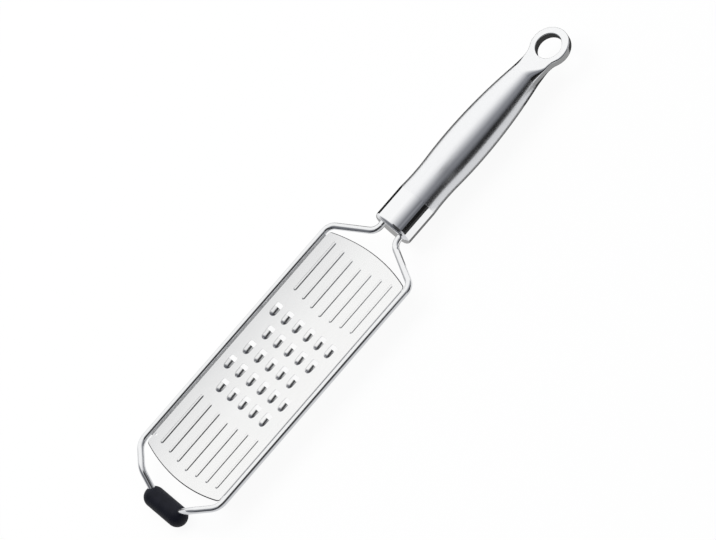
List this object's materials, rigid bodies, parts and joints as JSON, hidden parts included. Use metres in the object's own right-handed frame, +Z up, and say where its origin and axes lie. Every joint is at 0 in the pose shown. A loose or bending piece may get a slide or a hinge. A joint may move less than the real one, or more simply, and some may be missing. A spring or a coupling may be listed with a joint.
{
  "type": "rasp zester",
  "caption": "Wire-framed hand rasp with a ribbed and toothed grating sheet, a rubber foot and a round metal grip that ends in a hanging eye.",
  "frame": {"origin": "centre of the tool's length and width, on the surface that the foot stands on", "axes": "+X from the foot to the hanging eye, +Y across the grating sheet, +Z up out of the sheet's grating face"},
  "size_m": [0.4, 0.0824, 0.0336],
  "materials": {
    "frame_wire": "polished stainless steel wire",
    "foot_rubber": "matte blue-black",
    "sheet_steel": "smooth satin",
    "polished_steel": "mirror polish",
    "plug_metal": "turned, not seen",
    "satin_steel": "satin, brushed along the grip"
  },
  "bodies": {
    "root": {"frame_wire": "frame_wire", "foot": "foot_rubber", "grating_sheet": "sheet_steel", "front_cap": "polished_steel", "wire_anchor": "plug_metal", "grip_shell": "satin_steel", "hanging_eye": "satin_steel"}
  },
  "joints": []
}
